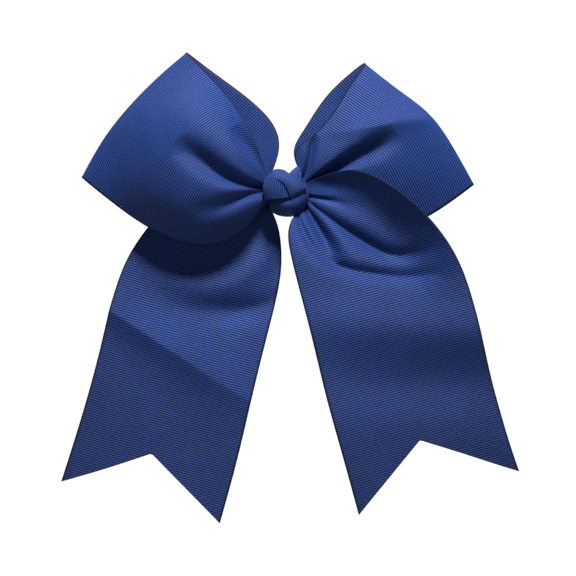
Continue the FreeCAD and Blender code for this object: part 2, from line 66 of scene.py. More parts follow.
# the knot ribbon and the liner
KNOT_RIB = 0.92
KNOT_RIB_HIGH = 0.05
KNOT_WIDTH = 22.0
KNOT_FOLDED = 12.0
KNOT_HALF_THICK = 0.35
LINER_WIDTH = 6.0
LINER_HALF_THICK = 0.15

# a rib's rounded top and the painted shade from its crest down into the groove, as powers of a sine
RIB_ROUND = 0.8
RIB_SHADE_POWER = 1.6

# the woven edge: where the ribs start and over how far they rise, and its own height; then the width and tone
# of the painted shade along each edge
EDGE_FLAT, EDGE_RISE = 0.2, 0.9
EDGE_HIGH = 0.75
EDGE_SHADE_WIDE = 1.1
EDGE_SHADE_TONE = 0.22

# steps along a given row of a tail, of a loop's two layers together and of a narrow strip,
# along a row that is only measured, and from one given point to the next, and the same for a fold
TAIL_STEPS, LOOP_STEPS, STRIP_STEPS = 1000, 1400, 400
MEASURE_STEPS = 400
CURVE_STEPS = 300
FOLD_STEPS = 8

# the length round a loop's outer fold in which the front layer's folds fade out
FOLD_FADE = 12

# the waist under the knot: its reach to each side, its pleats, the length in which a ribbon is
# squeezed into them, and the depths of its three plies
WAIST = 9.0
PLEATS = 5
PLEAT_HALF_HIGH = 6.11
PLEAT_GAP = 0.5
SQUEEZE = 8
BACK, MIDDLE, FRONT = -11.0, -14.0, -17.0


# ---------------------------------------------------------------- curves and surfaces


def natural_cubic(t, values, at):
    """Natural cubic spline through values (n, k) at parameters t, read at the parameters in at."""
    n = len(t)
    gap = np.diff(t)
    system, right = np.eye(n), np.zeros((n, values.shape[1]))
    for i in range(1, n - 1):
        system[i, i - 1 : i + 2] = gap[i - 1], 2 * (gap[i - 1] + gap[i]), gap[i]
        right[i] = 6 * ((values[i + 1] - values[i]) / gap[i] - (values[i] - values[i - 1]) / gap[i - 1])
    bend = np.linalg.solve(system, right)
    i = np.clip(np.searchsorted(t, at) - 1, 0, n - 2)
    a, b = (t[i + 1] - at)[:, None], (at - t[i])[:, None]
    g = gap[i][:, None]
    return (
        bend[i] * a**3 / (6 * g)
        + bend[i + 1] * b**3 / (6 * g)
        + (values[i] / g - bend[i] * g / 6) * a
        + (values[i + 1] / g - bend[i + 1] * g / 6) * b
    )


def run_along(points):
    """Straight-line distance from the first of the points to each of them."""
    return np.concatenate(([0], np.cumsum(np.linalg.norm(np.diff(points, axis=0), axis=1))))


def even_curve(points, count, middle=None):
    """count + 1 points at equal arc length along the spline through points.

    With middle, the point of that number comes half way through the count.
    """
    points = np.asarray(points, float)
    t = np.concatenate(([0], np.cumsum(np.sqrt(np.linalg.norm(np.diff(points, axis=0), axis=1)))))
    fine_t = np.linspace(0, t[-1], CURVE_STEPS * len(points))
    fine = natural_cubic(t, points, fine_t)
    run = run_along(fine)
    half_way = run[-1] / 2 if middle is None else np.interp(t[middle], fine_t, run)
    at = np.interp(np.linspace(0, 1, count + 1), (0, 0.5, 1), (0, half_way, run[-1]))
    return np.stack([np.interp(at, run, fine[:, k]) for k in range(3)], axis=1)


def surface(rows, count, middle=None):
    """A function of arrays u and t, both 0 to 1, for the smooth surface whose fibres are rows."""
    fibres = np.stack([even_curve(row, count, middle) for row in rows])
    knots = np.linspace(0, 1, len(rows))

    def at(u, t):
        across = natural_cubic(knots, fibres.reshape(len(rows), -1), u).reshape(len(u), count + 1, 3)
        spot = np.clip(t, 0, 1) * count
        low = np.minimum(spot.astype(int), count - 1)
        share = (spot - low)[..., None]
        column = np.arange(len(u))[:, None]
        return across[column, low] * (1 - share) + across[column, low + 1] * share

    return at


def fold_field(points, folds):
    """How far each point moves along -Y for the ridges and valleys in folds.

    A fold is its roundness, 1 for a sharp crest and 2 for a round one, and a list of
    (x, z, height, half width) along its line. A negative height is a valley.
    """
    x, z = points[..., 0], points[..., 2]
    total = np.zeros(x.shape)
    for roundness, line in folds:
        line = np.array(line, float)
        run = run_along(line[:, :2])
        fold = natural_cubic(run, line, np.linspace(0, run[-1], FOLD_STEPS * len(line)))
        best = np.full(x.shape, np.inf)
        lift = np.zeros(x.shape)
        for (x0, z0, h0, w0), (x1, z1, h1, w1) in zip(fold, fold[1:]):
            dx, dz = x1 - x0, z1 - z0
            share = np.clip(((x - x0) * dx + (z - z0) * dz) / (dx * dx + dz * dz), 0, 1)
            away = np.hypot(x - x0 - share * dx, z - z0 - share * dz) / (w0 + share * (w1 - w0))
            near = away < best
            best = np.where(near, away, best)
            lift = np.where(near, (h0 + share * (h1 - h0)) * np.exp(-np.minimum(away, 6) ** roundness), lift)
        total += lift
    return total


def smooth_step(x):
    """0 below 0, 1 above 1 and a smooth rise between."""
    x = np.clip(x, 0, 1)
    return x * x * (3 - 2 * x)


# ---------------------------------------------------------------- meshes


def add_object(name, data):
    obj = bpy.data.objects.new(name, data)
    bpy.context.scene.collection.objects.link(obj)
    return obj


def grid_normals(points):
    """Unit normals of a grid of points (columns, rows, 3)."""
    across = np.gradient(points, axis=0)
    along = np.gradient(points, axis=1)
    normal = np.cross(along, across)
    return normal / np.maximum(np.linalg.norm(normal, axis=2, keepdims=True), 1e-9)


def smooth_mesh(name, verts, faces, uv, material):
    """A smooth-shaded piece from the vertices that faces use, with uv in the layer weave, both in mm."""
    mesh = bpy.data.meshes.new(name)
    corners = [list(dict.fromkeys(face)) for face in faces.tolist()]
    corners = [face for face in corners if len(face) > 2]
    used = np.unique(np.concatenate(corners))
    place = np.zeros(len(verts), int)
    place[used] = np.arange(len(used))
    mesh.from_pydata((verts[used] * MM).tolist(), [], [place[face].tolist() for face in corners])
    layer = mesh.uv_layers.new(name="weave")
    index = np.zeros(len(mesh.loops), int)
    mesh.loops.foreach_get("vertex_index", index)
    layer.data.foreach_set("uv", (uv[used][index] * MM).astype(np.float32).ravel())
    mesh.polygons.foreach_set("use_smooth", np.ones(len(mesh.polygons), bool))
    mesh.update()
    mesh.materials.append(material)
    return add_object(name, mesh)


def cloth(name, points, u, s, material, half_thick=HALF_THICK, rib_high=RIB_HIGH):
    """A ribbed ribbon of real thickness round a grid of middle points (columns, rows, 3).

    u (columns) is the place across the ribbon and s (columns, rows) the place along it, in mm.
    Where the first rows of a column have the same s, as along a notch, they share one vertex.
    """
    columns, rows = s.shape
    normal = grid_normals(points)
    ribs = np.abs(np.sin(np.pi * s / RIB)) ** RIB_ROUND
    from_edge = np.minimum(u, u.max() - u)[:, None]
    ribbed = smooth_step((from_edge - EDGE_FLAT) / EDGE_RISE)
    high = half_thick + rib_high * (ribs * ribbed + EDGE_HIGH * (1 - ribbed))
    front, back = points + normal * high[..., None], points - normal * high[..., None]
    verts = np.concatenate([front.reshape(-1, 3), back.reshape(-1, 3)])
    uv = np.stack([np.broadcast_to(u[:, None], s.shape).ravel(), s.ravel()], axis=1)
    other = columns * rows
    index = np.arange(other).reshape(columns, rows)
    first = (s <= s[:, :1] + 1e-6).sum(axis=1) - 1
    index = np.maximum(index, index[:, :1] + first[:, None])
    quads = np.stack([index[:-1, :-1], index[:-1, 1:], index[1:, 1:], index[1:, :-1]], axis=-1).reshape(-1, 4)

    def rim(line):
        p, q = line[:-1], line[1:]
        return np.stack([p, p + other, q + other, q], axis=1)

    sides = (index[:, -1], index[::-1, 0], index[0, :], index[-1, ::-1])
    faces = np.concatenate([quads, quads[:, ::-1] + other] + [rim(side) for side in sides])
    return smooth_mesh(name, verts, faces, np.concatenate([uv, uv]), material)


# ---------------------------------------------------------------- material nodes


def new_material(name):
    """A material with one principled shader, its node tree and that shader."""
    material = bpy.data.materials.new(name)
    material.use_nodes = True
    tree = material.node_tree
    tree.nodes.clear()
    out = tree.nodes.new("ShaderNodeOutputMaterial")
    shader = tree.nodes.new("ShaderNodeBsdfPrincipled")
    tree.links.new(shader.outputs[0], out.inputs[0])
    return material, tree, shader


def node(tree, kind, inputs=None, **settings):
    """A node whose inputs, by name or number, are linked to sockets or set to values."""
    made = tree.nodes.new(kind)
    for key, value in settings.items():
        setattr(made, key, value)
    give(tree, made, inputs or {})
    return made


def give(tree, made, inputs):
    for key, value in inputs.items():
        if isinstance(value, bpy.types.NodeSocket):
            tree.links.new(value, made.inputs[key])
        else:
            made.inputs[key].default_value = value


def maths(tree, operation, *inputs):
    return node(tree, "ShaderNodeMath", dict(enumerate(inputs)), operation=operation).outputs[0]


def noise(tree, place, scale, detail):
    return node(tree, "ShaderNodeTexNoise", {"Vector": place, "Scale": scale, "Detail": detail}).outputs[0]


def ranged(tree, value, low, high, out_low, out_high, **settings):
    """A value carried from the range low to high into out_low to out_high."""
    inputs = {0: value, 1: low, 2: high, 3: out_low, 4: out_high}
    return node(tree, "ShaderNodeMapRange", inputs, **settings).outputs[0]


def shaded(tree, colour, tone):
    return node(tree, "ShaderNodeVectorMath", {0: colour, 3: tone}, operation="SCALE").outputs[0]


def bumped(tree, height, strength, distance):
    """A normal from a height of 0 to 1 that stands for distance in mm."""
    inputs = {"Height": height, "Strength": strength, "Distance": distance * MM}
    return node(tree, "ShaderNodeBump", inputs).outputs[0]


def sine_of(tree, value, period):
    """0 to 1 and back once in each period of a length in metres."""
    wave = maths(tree, "SINE", maths(tree, "MULTIPLY", value, 2 * math.pi / period))
    return maths(tree, "MULTIPLY_ADD", wave, 0.5, 0.5)


# ---------------------------------------------------------------- materials


def grosgrain(name, crest, groove_shade, relief, width=None):
    """Ribbed polyester ribbon: painted shade in the grooves between ribs, fine warp threads and soft uneven
    dye.

    A ribbon of stated width in mm has painted shade along each edge.
    """
    material, tree, shader = new_material(name)
    weave = node(tree, "ShaderNodeUVMap", uv_map="weave").outputs[0]
    split = node(tree, "ShaderNodeSeparateXYZ", {0: weave})
    across, along = split.outputs[0], split.outputs[1]
    rib = maths(tree, "ABSOLUTE", maths(tree, "SINE", maths(tree, "MULTIPLY", along, math.pi / (RIB * MM))))
    rib_shape = maths(tree, "POWER", rib, RIB_ROUND)
    rib_shade = maths(tree, "POWER", rib, RIB_SHADE_POWER)
    # painted shade: the colour runs from the crest colour to a far darker groove colour, standing in for the
    # shade between ribs
    colour = node(tree, "ShaderNodeMix", {"Factor": rib_shade, "A": groove_shade, "B": crest}, data_type="RGBA")

    place = node(tree, "ShaderNodeTexCoord").outputs["Object"]
    slub_place = node(tree, "ShaderNodeMapping", {0: weave, "Scale": (180.0, 2600.0, 1.0)}).outputs[0]
    dye = maths(tree, "MULTIPLY_ADD", noise(tree, place, 55.0, 3.0), 0.5, 0.75)
    slub = maths(tree, "MULTIPLY_ADD", noise(tree, slub_place, 1.0, 2.0), 0.16, 0.92)
    tone = maths(tree, "MULTIPLY", dye, slub)
    if width:
        # painted shade: the tone falls off towards each edge of the ribbon
        off_middle = maths(tree, "ABSOLUTE", maths(tree, "SUBTRACT", across, width * MM / 2))
        start, end = (width / 2 - EDGE_SHADE_WIDE) * MM, (width - EDGE_SHADE_WIDE) * MM / 2
        tone = maths(tree, "MULTIPLY", tone, ranged(tree, off_middle, start, end, 1.0, EDGE_SHADE_TONE))

    warp = sine_of(tree, across, 0.32 * MM)
    height = maths(tree, "MULTIPLY", maths(tree, "MULTIPLY_ADD", warp, 0.05, 0.95), rib_shape)
    give(tree, shader, {
        "Base Color": shaded(tree, colour.outputs["Result"], tone),
        "Normal": bumped(tree, height, 1.0, relief),
        "Roughness": 0.66,
        "Specular IOR Level": 0.17,
        "Sheen Weight": 0.04,
        "Sheen Roughness": 0.4,
        "Sheen Tint": (0.45, 0.6, 1.0, 1.0),
    })
    return material


def metal(name, colour, roughness):
    """Plated steel with fine brushing and a few handling marks."""
    material, tree, shader = new_material(name)
    place = node(tree, "ShaderNodeTexCoord").outputs["Object"]
    stretched = node(tree, "ShaderNodeMapping", {0: place, "Scale": (60.0, 2500.0, 2500.0)}).outputs[0]
    brushed = noise(tree, stretched, 1.0, 4.0)
    marks = noise(tree, place, 140.0, 5.0)
    give(tree, shader, {
        "Base Color": shaded(tree, colour, ranged(tree, brushed, 0.0, 1.0, 0.88, 1.08)),
        "Roughness": ranged(tree, marks, 0.35, 0.75, roughness, roughness + 0.22),
        "Normal": bumped(tree, brushed, 0.15, 0.02),
        "Metallic": 1.0,
    })
    return material


def mottled(name, colour, roughness, transmission=0.0, scale=300.0):
    """Slightly mottled material for small hidden parts."""
    material, tree, shader = new_material(name)
    place = node(tree, "ShaderNodeTexCoord").outputs["Object"]
    mottle = noise(tree, place, scale, 3.0)
    give(tree, shader, {
        "Base Color": shaded(tree, colour, ranged(tree, mottle, 0.0, 1.0, 0.8, 1.15)),
        "Normal": bumped(tree, mottle, 0.3, 0.1),
        "Roughness": roughness,
        "Transmission Weight": transmission,
    })
    return material


# the groove colours are painted shade between the ribs, far darker than the crests
NAVY_CREST = (0.0074, 0.0305, 0.1530, 1.0)
NAVY_GROOVE_SHADE = (0.0006, 0.0024, 0.0150, 1.0)
KNOT_CREST = (0.0075, 0.0275, 0.1350, 1.0)
KNOT_GROOVE_SHADE = (0.0008, 0.0030, 0.0190, 1.0)
NAVY_RELIEF, KNOT_RELIEF = 0.17, 0.20
ribbon_cloth = grosgrain("navy_grosgrain", NAVY_CREST, NAVY_GROOVE_SHADE, NAVY_RELIEF, WIDTH)
knot_cloth = grosgrain("navy_knot_grosgrain", KNOT_CREST, KNOT_GROOVE_SHADE, KNOT_RELIEF)
liner_cloth = grosgrain("navy_liner_grosgrain", KNOT_CREST, KNOT_GROOVE_SHADE, KNOT_RELIEF, LINER_WIDTH)
steel = metal("nickel_plate", (0.34, 0.335, 0.325), 0.24)
spring_wire = metal("spring_wire", (0.30, 0.30, 0.31), 0.30)
thread_material = mottled("waxed_thread", (0.02, 0.03, 0.08), 0.7, scale=2500.0)
glue_material = mottled("hot_melt_glue", (0.78, 0.75, 0.66), 0.35, 0.25)

# ---------------------------------------------------------------- the main ribbon


def into_waist(points, u, t, side, y, length):
    """Carries the part of a ribbon with t above 1 on into the pleated waist, as far as the middle.

    Inside the binding the ribbon is a zigzag pressed flat: z and y follow its turns.
    """
    turn = u * PLEATS
    z = PLEAT_HALF_HIGH * np.cos(np.pi * turn)
    ply_y = y + PLEAT_GAP * (turn - PLEATS / 2)
    beyond = np.maximum(t - 1, 0) * length
    share = smooth_step(beyond / SQUEEZE)[..., None]
    x = side * WAIST * np.clip(1 - beyond / WAIST, -0.05, 1)
    ply_y, z = (np.broadcast_to(value[:, None], x.shape) for value in (ply_y, z))
    target = np.stack([x, ply_y, z], axis=2)
    return np.where((t > 1)[..., None], points * (1 - share) + target * share, points)


def row_lengths(rows, u):
    """Real length of the ribbon at each place in u, from the lengths of its given rows."""
    lengths = np.array([run_along(even_curve(row, MEASURE_STEPS))[-1] for row in rows])
    return natural_cubic(np.linspace(0, 1, len(rows)), lengths[:, None], u)


def loop(name, side, front_rows, back_rows, folds, plies):
    """A loop of two layers, whose rows run from the outer fold to the waist.

    The folds shape the front layer and fade out round the outer fold.
    """
    u = np.linspace(0, 1, COLUMNS + 1)
    front_length, back_length = row_lengths(front_rows, u), row_lengths(back_rows, u)
    first = -int((back_length.max() + WAIST) / STEP)
    last = int((front_length.max() + WAIST) / STEP)
    s = np.arange(first, last + 1)[None, :] * STEP
    rows = [back[::-1] + front[1:] for front, back in zip(front_rows, back_rows)]
    t = 0.5 + 0.5 * s / np.where(s > 0, front_length, back_length)
    points = surface(rows, LOOP_STEPS, len(back_rows[0]) - 1)(u, t)
    points[..., 1] -= fold_field(points, folds) * smooth_step(s / FOLD_FADE + 0.5)
    points = into_waist(points, u, s / front_length, side, plies[0], front_length)
    points = into_waist(points, u, -s / back_length, side, plies[1], back_length)
    return cloth(name, points, u * WIDTH, np.broadcast_to(s, t.shape), ribbon_cloth)


def tail(name, side, rows, folds, notch, notch_at, ply):
    """A tail, whose rows run from the points of its end to the waist.

    The V cut in its end is notch deep and deepest at notch_at, 0 to 1 across the ribbon.
    """
    u = np.linspace(0, 1, COLUMNS + 1)
    length = row_lengths(rows, u)
    s = np.arange(int((length.max() + WAIST) / STEP) + 1)[None, :] * STEP
    cut = notch * np.minimum(u / notch_at, (1 - u) / (1 - notch_at))
    s = np.maximum(s, cut[:, None])
    t = s / length
    points = surface(rows, TAIL_STEPS)(u, t)
    points[..., 1] -= fold_field(points, folds)
    points = into_waist(points, u, t, side, ply, length)
    return cloth(name, points, u * WIDTH, s, ribbon_cloth)


left_front = [
    [
        (-45.5, -22, 63.4), (-37, -25.5, 54.5), (-26, -27, 42), (-17.8, -26, 29), (-12, -22, 16),
        (-9, -17.2, 6.5),
    ],
    [
        (-59.2, -22, 51.4), (-53, -28.5, 45.5), (-42, -36, 36.5), (-28, -36, 25), (-17, -29, 12.5),
        (-9, -17.2, 3.2),
    ],
    [
        (-72.4, -22.5, 37.8), (-65, -30.5, 30.5), (-52, -38, 20), (-35, -37, 10), (-20, -30, 4),
        (-9, -17.2, 0),
    ],
    [
        (-83.8, -22.5, 23.1), (-73, -28.5, 11), (-56, -33.5, -2.5), (-37, -33, -8.5), (-20, -27, -5.5),
        (-9, -17.2, -3.2),
    ],
    [
        (-93.2, -22.5, 6.6), (-77, -22, -6.5), (-57, -20.5, -19), (-36, -20, -24), (-18, -19, -16),
        (-9, -17.2, -6.5),
    ],
]
left_back = [
    [
        (-45.5, -22, 63.4), (-37, -18.5, 57.3), (-24.2, -16, 48), (-8, -15, 33.5), (-3.6, -14.5, 21),
        (-8, -14, 6.5),
    ],
    [
        (-59.2, -22, 51.4), (-50, -17.5, 42), (-36, -14, 31), (-24, -13, 20), (-14, -13.5, 9.5),
        (-9, -14, 3.2),
    ],
    [
        (-72.4, -22.5, 37.8), (-63, -18, 30), (-50, -14, 18), (-33, -13, 9), (-19, -13.5, 3),
        (-9, -14, 0),
    ],
    [
        (-83.8, -22.5, 23.1), (-75, -18, 14), (-58, -14.5, 1), (-39, -13.3, -6), (-20, -13.5, -5.5),
        (-9, -14, -3.2),
    ],
    [
        (-93.2, -22.5, 6.6), (-82, -18.5, -1), (-62, -15.5, -13), (-40, -14.2, -18), (-18, -13.5, -12),
        (-9, -14, -6.5),
    ],
]
left_front_folds = [
    (2, [
        (-51, 21.5, -0.5, 7), (-44, 17.5, -3.8, 5.5), (-36, 12, -5.2, 4.6), (-27, 6.8, -5.6, 3.5),
        (-19, 3.9, -5, 2.3), (-10, 2.2, -3, 1.1),
    ]),
    (2, [
        (-46, -9.5, -0.3, 6), (-34, -7.5, -2.2, 4.4), (-24, -3.8, -3.8, 3.2), (-17, -1, -4, 2.1),
        (-10, 0.3, -2.5, 1.1),
    ]),
    (2, [(-34, -23, -1, 5), (-24, -19.5, -4, 4), (-17, -13.5, -5, 2.6), (-9.5, -5, -3, 1.1)]),
    (2, [(-24, 30, -0.5, 4), (-19, 23, -4.5, 3.2), (-14.5, 16.5, -4.5, 2.4), (-9, 8, -2.5, 1.1)]),
]
left_loop = loop("left_loop_ribbon", -1, left_front, left_back, left_front_folds, (FRONT, MIDDLE))

right_front = [
    [
        (35.2, -20, 58.7), (28, -22.5, 47.5), (20.8, -22.5, 35.8), (10.5, -20, 24.8),
        (3.8, -16.5, 18.5), (6.8, -15, 7.5),
    ],
    [
        (50.5, -20.3, 46.5), (47, -24.5, 42.5), (39, -27, 34.5), (27, -26, 23.5), (15, -21, 12),
        (9, -14.5, 3.5),
    ],
    [
        (64.8, -20.5, 35), (59, -25.5, 32), (48, -28, 27), (33, -25.5, 17.5), (19, -20, 8.5),
        (9, -14, 0.5),
    ],
    [
        (75.8, -20.5, 19.8), (67, -24.5, 15.5), (53, -26, 9), (37, -23, 3.5), (20, -18.5, 0),
        (9, -14, -2.5),
    ],
    [(85, -20, 3.4), (73, -21, -5.5), (57, -21, -14), (37, -19, -15.5), (18, -16.5, -9), (9, -14, -6)],
]
right_back = [
    [
        (35.2, -20, 58.7), (25.5, -16.8, 51.5), (15.8, -14.8, 41.2), (7.5, -13.5, 28.5),
        (3.1, -12.5, 19), (6.5, -11.5, 8),
    ],
    [
        (50.5, -20.3, 46.5), (42, -16, 39.5), (31, -14, 29.5), (20.5, -12.5, 18), (13, -11.8, 9),
        (9, -11, 3.2),
    ],
    [
        (64.8, -20.5, 35), (54.5, -16, 28), (42, -13.5, 19.5), (27, -12, 9.5), (16.5, -11.5, 3),
        (9, -11, 0),
    ],
    [(75.8, -20.5, 19.8), (66, -16, 14), (50, -13.5, 6), (31, -12, 0), (17.5, -11.5, -3), (9, -11, -3)],
    [(85, -20, 3.4), (75, -17, -3), (58, -15, -11), (38, -12.7, -13), (19, -11.7, -10), (9, -11, -6.5)],
]
right_front_folds = [
    (2, [
        (50, 26.5, -0.4, 5), (42, 20.8, -3.5, 4.6), (33, 16.8, -4.3, 3.8), (24, 12, -4.2, 2.8),
        (16.5, 7.8, -3.6, 2), (9.6, 3.6, -2.5, 1.1),
    ]),
    (1.4, [(67, 33, 0.8, 5), (52, 31.5, 1.8, 4.5), (34, 28.5, 1.6, 4), (20, 26.5, 0.6, 3)]),
    (2, [
        (12.6, 26.5, 0, 1.5), (11.8, 23, -2.2, 1.6), (10.8, 17, -3.2, 1.5), (9.3, 11, -2.6, 1.3),
        (7, 5, -1.5, 1.0),
    ]),
]
right_loop = loop("right_loop_ribbon", 1, right_front, right_back, right_front_folds, (MIDDLE, BACK))

left_tail_rows = [
    [
        (-103.6, -10.5, -132.4), (-94.5, -11, -103.6), (-86.4, -11.5, -74.5), (-80, -11.3, -49),
        (-73.6, -11, -31), (-64, -10.5, -16), (-50, -10.5, -3), (-28, -10.5, 5), (-9, -11, 6),
    ],
    [
        (-85.4, -10.5, -137.4), (-76.5, -11, -106), (-68.5, -11.2, -75), (-62, -10.5, -48),
        (-54, -10, -27), (-38, -10, -9), (-20, -10.5, 0), (-9, -11, 3),
    ],
    [
        (-67.2, -10.5, -142), (-58.8, -10.8, -110), (-50.5, -11, -78), (-44.5, -10, -50),
        (-38, -9.5, -29), (-25, -10, -12), (-9, -11, 0),
    ],
    [
        (-49, -10.5, -146.8), (-40.5, -10.5, -114), (-32, -10.5, -80), (-25.5, -9.5, -50),
        (-20, -9.5, -27), (-14.5, -10.5, -13), (-9, -11, -3),
    ],
    [
        (-30.8, -10.5, -151.6), (-22.5, -10.5, -121), (-14.1, -10.5, -85.5), (-6, -9.5, -53),
        (-2.7, -9.5, -34.5), (-3.2, -10, -20), (-5, -10.5, -12.7), (-8, -11, -6),
    ],
]
left_tail_folds = [
    (1.25, [(-86, -50.5, 4.5, 8), (-66, -63.5, 5.5, 9), (-45, -77.5, 5.5, 11), (-12, -99, 3, 14)]),
    (2, [(-50, -53, -0.8, 6), (-32, -55, -2.6, 6), (-18, -54, -3.2, 5.5), (-5, -50, -1.6, 5)]),
    (2, [(-68, -34, 0.5, 7), (-45, -42, 2, 7), (-22, -39, 2.5, 7), (-8, -26, 1.5, 6)]),
]
left_tail = tail("left_tail_ribbon", -1, left_tail_rows, left_tail_folds, 23.0, 0.49, BACK)

right_tail_rows = [
    [
        (104.8, -31, -126.4), (98.6, -31, -107.3), (90.9, -31, -78.2), (84.5, -32.5, -52),
        (78.5, -34, -34), (69.4, -38, -18.9), (56.5, -40.5, -5.2), (43, -39, 4.6), (31, -34, 9.4),
        (19, -25.5, 8), (9, -17, 4.5),
    ],
    [
        (86.7, -31, -131.3), (79.5, -31, -104), (72, -31, -76), (66, -31, -52), (60, -29.5, -33),
        (49, -29, -16), (34, -28, -3), (20, -22.5, 2), (9, -17, 2.5),
    ],
    [
        (68.6, -31, -136.3), (61.5, -31, -109), (54, -31, -80), (48.5, -30.5, -58), (43, -29, -40),
        (34, -27.5, -23), (22, -25.5, -9.5), (9, -17, 0),
    ],
    [
        (50.5, -31, -141.2), (43.5, -31, -114.5), (36.5, -31, -88), (31, -30.5, -66), (25.5, -30, -48),
        (19.5, -29.5, -31), (14.5, -27, -17), (9, -17, -3),
    ],
    [
        (32.4, -31, -146.2), (25.5, -31, -121), (17.7, -31, -92.7), (11.2, -30, -66), (5.5, -29, -44),
        (1.6, -27.5, -28), (0.6, -25.5, -18), (3, -22, -11), (7, -17, -6),
    ],
]
right_tail_folds = [
    (1.6, [
        (64, -26, -0.8, 4), (48, -28.5, -4, 3.6), (36, -23, -4.8, 3.4), (25, -16, -4.6, 2.9),
        (16, -9.3, -3.2, 2), (9.5, -4, -1.5, 1.1),
    ]),
    (2, [(23, -32, -1.5, 4), (17.2, -21.5, -7.5, 3.6), (12.6, -13.3, -7, 2.7), (8.4, -6.3, -3.5, 1.3)]),
    (2, [(30, -6.5, -0.4, 3), (20, -4, -2.2, 1.8), (9.4, -1.8, -2, 1)]),
    (1.6, [
        (4.8, -11, -1.5, 1.5), (9, -20.5, -3.6, 2.3), (15, -28.5, -3.4, 2.8), (23, -33.5, -3.2, 3),
        (36, -36.6, -3.4, 3.2), (52, -38.5, -3, 3.8), (68, -37, -1.2, 4),
    ]),
    (2, [(4, -60, 1.5, 12), (40, -60, 3.5, 12), (90, -62, 3.5, 12)]),
    (2, [(10, -86, -1, 12), (50, -88, -2.5, 12), (95, -88, -2.5, 12)]),
]
right_tail = tail("right_tail_ribbon", 1, right_tail_rows, right_tail_folds, 25.4, 0.53, FRONT)

# ---------------------------------------------------------------- the knot and the liner


def strip(name, rows, width, columns=20, half_thick=KNOT_HALF_THICK, material=knot_cloth):
    """A short stretch of narrow ribbon, its rows running along it from its hidden start.

    Its s is stretched by RIB / KNOT_RIB, so that its ribs come KNOT_RIB apart.
    """
    u = np.linspace(0, 1, columns + 1)
    length = np.mean([run_along(row)[-1] for row in rows]) * RIB / KNOT_RIB
    s = np.arange(int(length / STEP) + 1) * STEP
    t = np.broadcast_to(s / s[-1], (len(u), len(s)))
    points = surface(rows, STRIP_STEPS)(u, t)
    return cloth(name, points, u * width, np.broadcast_to(s, t.shape), material, half_thick, KNOT_RIB_HIGH)


def knot_strap():
    """The strap over the front ply, round behind the waist on both sides of it."""
    places = ((-6.7, 8.6, -7.6), (-3.4, 9.0, -9.5), (0.8, 6.8, -10.1), (3.6, 8.6, -9.4), (6.4, 8.4, -8.0))
    rows = []
    for x, top, low in places:
        over = [(-21.5, top - 4), (-19.8, top), (-14, top + 0.6), (-8.6, top - 1.6), (-7.2, 3), (-7.1, -3)]
        under = [(-8.6, low + 1.8), (-14, low - 0.4), (-19.5, low), (-21.5, low + 4)]
        rows.append([(x, y, z) for y, z in over] + [(1.1 * x, y, z) for y, z in under])
    return strip("knot_strap", rows, KNOT_WIDTH, 28)


def knot_left_lobe():
    rows = [
        [
            (-7.5, -18.5, 7.4), (-9.6, -21.5, 7.1), (-7.4, -25.4, 7.2), (-3.2, -27.3, 6.0),
            (0.2, -27.3, 4.0), (2.6, -24.5, 3.2),
        ],
        [
            (-8.5, -18.2, 1.5), (-10.6, -22, 1.5), (-8.3, -26, 1.6), (-3.8, -27.5, 1.5),
            (0.6, -26.9, 0.8), (3.2, -24.5, 0.4),
        ],
        [
            (-8, -18.5, -3.8), (-9.8, -21.5, -3.6), (-7.6, -25, -3.5), (-3.2, -26.8, -3.1),
            (1.8, -26.3, -2.6), (4.0, -24.5, -2.4),
        ],
    ]
    return strip("knot_left_lobe", rows, KNOT_FOLDED)


def knot_top_band():
    rows = [
        [
            (-7.5, -18.5, 8.2), (-8.4, -22, 7.4), (-6.2, -26, 6.1), (-3.3, -27.8, 5.0),
            (-0.9, -28.2, 3.0), (0.3, -28.0, 0.6), (1.7, -26.8, -2.3), (2.2, -24.6, -3.0),
        ],
        [
            (-4.8, -18.5, 10.2), (-5.3, -21.8, 9.8), (-3.3, -25.8, 7.9), (-0.8, -27.7, 6.3),
            (1.9, -28.4, 4.3), (3.4, -28.2, 2.2), (4.9, -27, -0.2), (5.4, -24.8, -0.9),
        ],
        [
            (-1.2, -18.5, 9.8), (-0.8, -21.3, 9.3), (0.9, -24.3, 8.2), (3.3, -26.2, 7.2),
            (5.4, -27, 5.5), (6.9, -26.6, 3.9), (8.3, -25.6, 1.9), (8.6, -23.8, 1.2),
        ],
    ]
    return strip("knot_top_band", rows, KNOT_FOLDED)


def knot_lower_band():
    rows = [
        [
            (-7.4, -19.5, -3.4), (-5, -23.5, -2.6), (-1, -25.0, -2.2), (2.5, -25.2, -1.4),
            (4.8, -25, 0.0), (6, -24, 1.8), (5.6, -22.5, 3.4),
        ],
        [
            (-7.3, -19, -6.2), (-5, -23, -6.3), (-1, -25.3, -6.6), (3.3, -25.5, -6), (6.9, -24.6, -3.6),
            (8.7, -22.8, -0.2), (8.4, -20.8, 2.8),
        ],
        [
            (-6.3, -18, -9.2), (-4.4, -19.5, -9.8), (-0.7, -21, -10.7), (3.6, -21, -9.8),
            (7.6, -20.3, -7.3), (9.5, -19.3, -2.2), (9.3, -18.5, 2.2),
        ],
    ]
    return strip("knot_lower_band", rows, KNOT_FOLDED)


def knot_right_peak():
    rows = [
        [(0.2, -23, 5.4), (0.8, -22.6, 7.9), (2.6, -21, 10), (4.6, -19, 11.7)],
        [(2, -23.6, 5.2), (2.9, -22.8, 7.4), (4, -21, 9.6), (5, -19, 11.4)],
        [(4.6, -23, 4.8), (5.2, -22.2, 7.2), (5.5, -20.6, 9.2), (5.8, -19, 10.8)],
    ]
    return strip("knot_right_peak", rows, KNOT_FOLDED / 2, 12)


